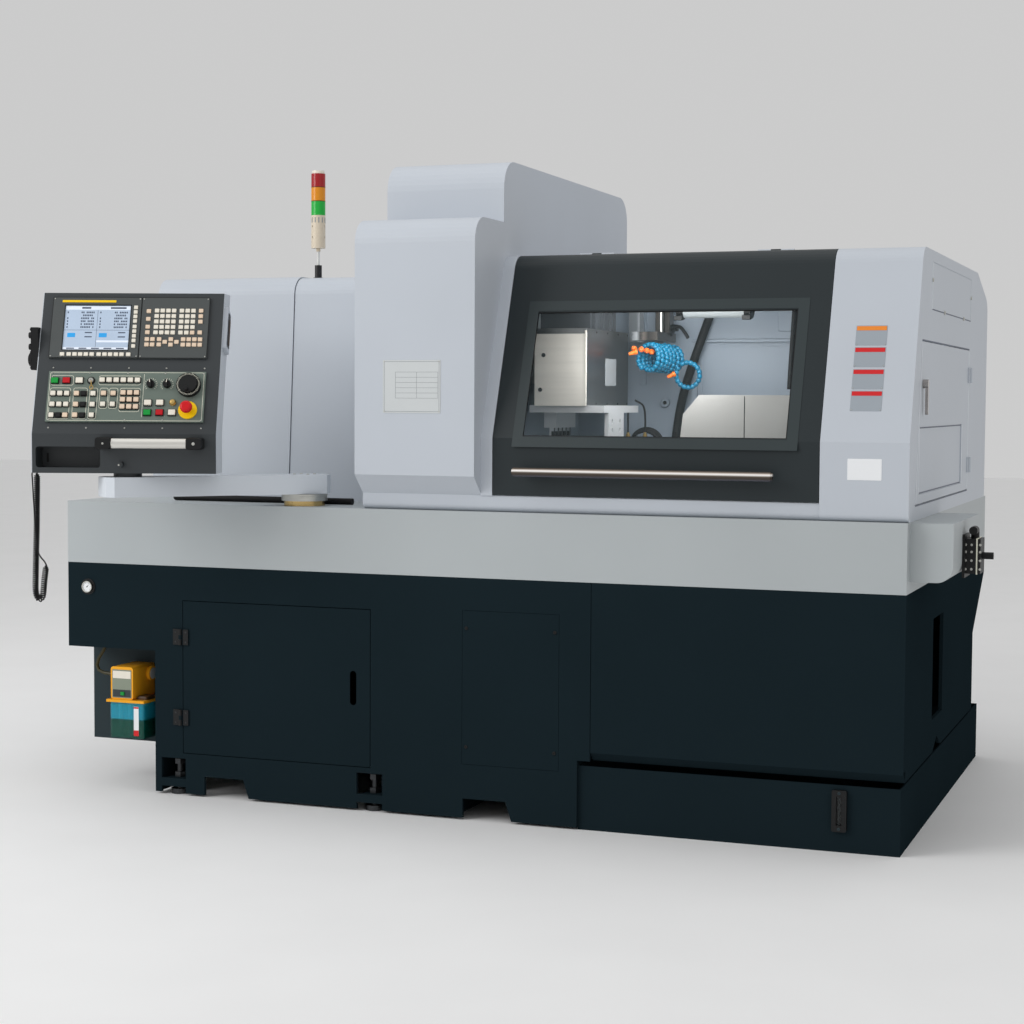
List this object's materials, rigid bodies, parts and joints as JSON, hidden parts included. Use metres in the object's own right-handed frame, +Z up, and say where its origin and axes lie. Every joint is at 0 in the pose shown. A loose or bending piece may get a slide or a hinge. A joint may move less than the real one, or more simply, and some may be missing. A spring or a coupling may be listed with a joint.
{
  "type": "cnc_turning_lathe",
  "caption": "Sliding-head turning lathe with a lift-up windowed door, tall column cover, swing-arm control panel, bed tray, dark base and coolant tank.",
  "frame": {"origin": "on the floor under the middle of the bed tray, at the centre foot's pad", "axes": "+X to the right along the bed, +Y to the back, +Z up"},
  "size_m": [3.168, 2.4285, 2.2185],
  "materials": {
    "dark_paint": "satin fine texture",
    "light_paint": "satin fine texture",
    "grey_paint": "satin fine texture",
    "charcoal_paint": "satin",
    "black_plastic": "matte",
    "black_rubber": "matte",
    "steel": "brushed",
    "brass": "turned",
    "yellow_paint": "gloss",
    "clear_plastic": "clear",
    "lens_plastic": "gloss",
    "red_plastic": "gloss",
    "blue_plastic": "gloss"
  },
  "bodies": {
    "machine": {"base_frame": "dark_paint", "left_cabinet": "dark_paint", "front_apron": "dark_paint", "access_panel": "dark_paint", "coolant_tank": "dark_paint", "level_gauge": "black_plastic", "levelling_feet": "steel", "bed_tray": "grey_paint", "door_frame": "light_paint", "headstock_cover": "light_paint", "joining_cover": "light_paint", "column_cover": "light_paint", "high_cover": "light_paint", "end_cover": "light_paint", "roof_panel": "light_paint", "rear_cover": "light_paint", "back_wall": "grey_paint", "spindle_partition": "grey_paint", "service_box": "grey_paint", "air_valve": "black_plastic", "lube_plate": "dark_paint", "lube_pump": "yellow_paint", "lube_tank": "clear_plastic", "lube_hose": "black_rubber", "pressure_gauge": "steel", "tower_mast": "steel", "tower_lenses": "lens_plastic", "work_lamp": "clear_plastic", "conduit_hose": "black_rubber", "coolant_hose": "blue_plastic", "slide_columns": "steel", "guide_rails": "steel", "guide_bush": "steel", "door_hinges": "steel", "arm_pivot": "brass"},
    "clamp": {"clamp_lever": "black_plastic"},
    "headstock_slide": {"headstock": "grey_paint"},
    "spindle": {"main_spindle": "steel"},
    "saddle": {"tool_saddle": "steel"},
    "tools": {"tool_slide": "charcoal_paint", "tool_slide_cover": "steel"},
    "sub_spindle": {"sub_spindle_cover": "steel"},
    "sub_nose": {"sub_spindle_nose": "steel"},
    "door": {"front_door": "charcoal_paint", "door_window": "clear_plastic", "door_handle": "steel"},
    "side_hatch": {"side_door": "light_paint"},
    "side_latch": {"side_lever": "steel"},
    "cabinet_door": {"base_door": "dark_paint"},
    "arm": {"swing_arm": "light_paint"},
    "panel": {"panel_housing": "charcoal_paint", "display_unit": "charcoal_paint", "operator_panel": "charcoal_paint", "panel_handle": "steel", "hand_pulse_unit": "black_plastic", "curly_cord": "black_rubber"},
    "estop": {"estop_button": "red_plastic"},
    "wheel": {"handwheel": "black_plastic"},
    "feed": {"feed_knob": "black_plastic"},
    "speed": {"spindle_knob": "black_plastic"}
  },
  "joints": [
    {"name": "clamp_turn", "type": "hinge", "parent": "machine", "child": "clamp", "pos_m": [0.514, -0.14, 1.642], "axis": [1, 0, 0], "range_deg": [-20, 40]},
    {"name": "headstock_feed", "type": "slide", "parent": "machine", "child": "headstock_slide", "axis": [1, 0, 0], "range_m": [-0.2, 0.05]},
    {"name": "spindle_spin", "type": "hinge", "parent": "headstock_slide", "child": "spindle", "pos_m": [-0.43, -0.33, 1.235], "axis": [1, 0, 0], "continuous": true},
    {"name": "saddle_feed", "type": "slide", "parent": "machine", "child": "saddle", "axis": [0, 1, 0], "range_m": [-0.05, 0.05]},
    {"name": "tool_feed", "type": "slide", "parent": "saddle", "child": "tools", "axis": [0, 0, 1], "range_m": [-0.05, 0.04]},
    {"name": "sub_feed", "type": "slide", "parent": "machine", "child": "sub_spindle", "axis": [1, 0, 0], "range_m": [-0.12, 0.05]},
    {"name": "sub_spin", "type": "hinge", "parent": "sub_spindle", "child": "sub_nose", "pos_m": [0.74, -0.33, 1.235], "axis": [1, 0, 0], "continuous": true},
    {"name": "door_lift", "type": "hinge", "parent": "machine", "child": "door", "pos_m": [0.6665, -0.559, 1.873], "axis": [-1, 0, 0], "range_deg": [0, 80]},
    {"name": "side_hatch_swing", "type": "hinge", "parent": "machine", "child": "side_hatch", "pos_m": [1.482, 0.391, 1.32], "axis": [0, 0, 1], "range_deg": [0, 100]},
    {"name": "side_latch_turn", "type": "hinge", "parent": "side_hatch", "child": "side_latch", "pos_m": [1.49, -0.698, 1.44], "axis": [1, 0, 0], "range_deg": [-90, 0]},
    {"name": "cabinet_door_swing", "type": "hinge", "parent": "machine", "child": "cabinet_door", "pos_m": [-1.0185, -0.957, 0.416], "axis": [0, 0, -1], "range_deg": [0, 110]},
    {"name": "arm_swing", "type": "hinge", "parent": "machine", "child": "arm", "pos_m": [-0.592, -0.85, 1.09], "axis": [0, 0, 1], "range_deg": [-15, 40]},
    {"name": "panel_swivel", "type": "hinge", "parent": "arm", "child": "panel", "pos_m": [-1.0012, -1.31578, 1.12], "axis": [0, 0, 1], "range_deg": [-25, 35]},
    {"name": "estop_press", "type": "slide", "parent": "panel", "child": "estop", "axis": [-0.3159, 0.8776, -0.3606], "range_m": [0, 0.006], "stiffness_N_per_m": 600},
    {"name": "wheel_turn", "type": "hinge", "parent": "panel", "child": "wheel", "pos_m": [-0.80395, -1.26145, 1.42453], "axis": [0.3159, -0.8776, 0.3606], "continuous": true},
    {"name": "feed_turn", "type": "hinge", "parent": "panel", "child": "feed", "pos_m": [-0.92204, -1.30243, 1.42826], "axis": [0.3159, -0.8776, 0.3606], "range_deg": [-150, 150]},
    {"name": "speed_turn", "type": "hinge", "parent": "panel", "child": "speed", "pos_m": [-0.87218, -1.28448, 1.42826], "axis": [0.3159, -0.8776, 0.3606], "range_deg": [-150, 150]}
  ]
}
